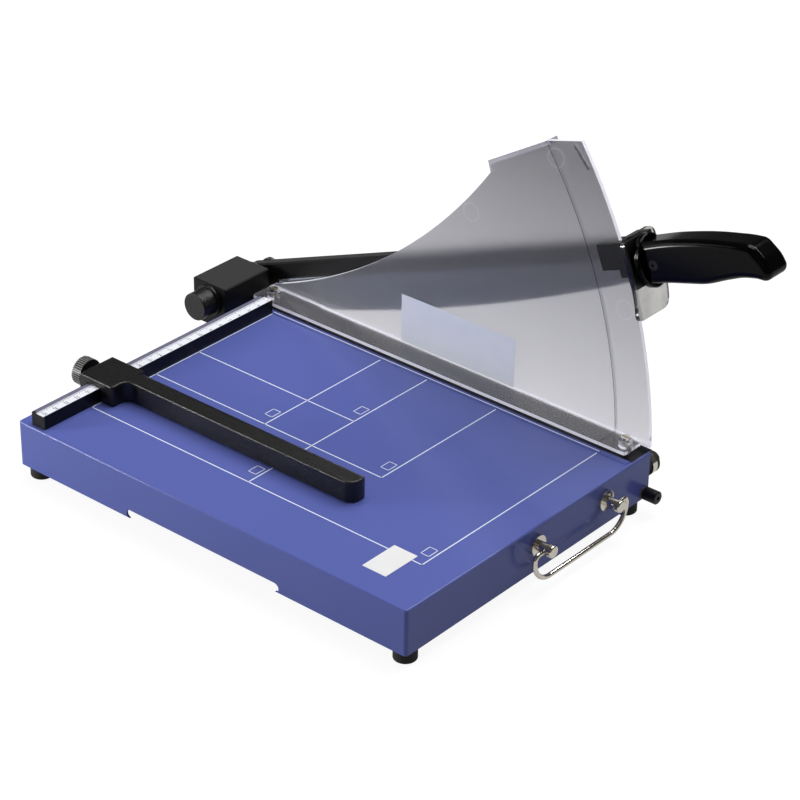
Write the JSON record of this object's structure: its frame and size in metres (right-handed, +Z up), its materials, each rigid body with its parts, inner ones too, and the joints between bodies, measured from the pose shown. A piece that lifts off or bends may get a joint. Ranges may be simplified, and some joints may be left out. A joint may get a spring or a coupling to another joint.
{
  "type": "paper trimmer",
  "caption": "Guillotine paper trimmer: steel table, hinged blade arm with grip, clear sliding safety shield, ruler with adjustable backgauge and a wire carrying handle.",
  "frame": {"origin": "middle of the whole part's footprint, on the surface it stands on", "axes": "+X along the cut, from the pivot to the handle; +Y from the user to the blade side; +Z up"},
  "size_m": [0.4665, 0.274, 0.2518],
  "materials": {
    "table_blue": "smooth enamel paint",
    "channel_steel": "plain",
    "foot_rubber": "matte",
    "zinc_steel": "zinc plated",
    "bar_steel": "black",
    "knife_steel": "ground",
    "nickel": "bright",
    "ring_rubber": "matte",
    "rail_black": "satin",
    "scale_white": "smooth",
    "label_film": "smooth",
    "gauge_black": "satin",
    "casting_black": "satin",
    "bronze": "sintered",
    "cap_black": "satin",
    "guard_smoke": "smoked",
    "grip_black": "gloss",
    "shield_clear": "frosted acrylic",
    "spring_steel": "plain"
  },
  "bodies": {
    "base": {"table_top": "table_blue", "front_channel": "channel_steel", "rear_channel": "channel_steel", "bed_bar_spacers": "channel_steel", "lock_bracket": "channel_steel", "foot_front_left": "foot_rubber", "foot_front_right": "foot_rubber", "foot_rear_left": "foot_rubber", "foot_rear_right": "foot_rubber", "foot_screws": "zinc_steel", "foot_nuts": "zinc_steel", "bed_knife_screws": "zinc_steel", "ruler_screws": "zinc_steel", "pivot_block_bolts": "zinc_steel", "pivot_block_screw": "zinc_steel", "carry_nuts": "zinc_steel", "bed_bar": "bar_steel", "bed_knife": "knife_steel", "stop_washer": "nickel", "stop_bolt": "nickel", "shield_posts": "nickel", "carry_studs": "nickel", "carry_washers": "nickel", "stop_ring": "ring_rubber", "ruler_rail": "rail_black", "ruler_scale": "scale_white", "table_label": "scale_white", "pivot_block": "casting_black", "front_bush": "bronze", "rear_bush": "bronze", "lock_bush": "bronze", "pivot_cap": "cap_black", "shield_spring_left": "spring_steel", "shield_spring_right": "spring_steel", "lock_spring": "spring_steel"},
    "arm": {"arm_beam": "casting_black", "upper_blade": "knife_steel", "blade_screws": "zinc_steel", "pivot_shaft": "zinc_steel", "thrust_washer": "zinc_steel", "spring_discs": "spring_steel", "pivot_nut": "zinc_steel", "handle_yoke": "casting_black", "hand_guard": "guard_smoke", "handle_collar": "cap_black", "handle_grip": "grip_black", "grip_screw": "zinc_steel"},
    "shield": {"safety_shield": "shield_clear", "shield_label": "label_film"},
    "gauge": {"backgauge": "gauge_black", "pressure_shoe": "zinc_steel"},
    "thumbscrew": {"thumbscrew": "gauge_black"},
    "bail": {"carrying_bail": "nickel"},
    "lock": {"lock_pin": "nickel", "lock_knob": "nickel"}
  },
  "joints": [
    {"name": "arm_pivot", "type": "hinge", "parent": "base", "child": "arm", "pos_m": [-0.2133, 0.099, 0.051], "axis": [0, -1, 0], "range_deg": [-19.5, 11]},
    {"name": "shield_press", "type": "slide", "parent": "base", "child": "shield", "axis": [0, 0, -1], "range_m": [0, 0.003], "stiffness_N_per_m": 900, "springref_m": -0.004, "deforming": ["shield_spring_left", "shield_spring_right"]},
    {"name": "gauge_slide", "type": "slide", "parent": "base", "child": "gauge", "axis": [0, 1, 0], "range_m": [-0.05, 0.105]},
    {"name": "thumbscrew_turn", "type": "hinge", "parent": "gauge", "child": "thumbscrew", "pos_m": [-0.2025, -0.0665, 0.0502], "axis": [1, 0, 0], "range_deg": [-180, 180]},
    {"name": "bail_swing", "type": "hinge", "parent": "base", "child": "bail", "pos_m": [0.159, 0.0278, 0.031], "axis": [0, -1, 0], "range_deg": [-15, 180]},
    {"name": "lock_pull", "type": "slide", "parent": "base", "child": "lock", "axis": [1, 0, 0], "range_m": [0, 0.004], "stiffness_N_per_m": 400, "springref_m": -0.004, "deforming": ["lock_spring"]}
  ]
}
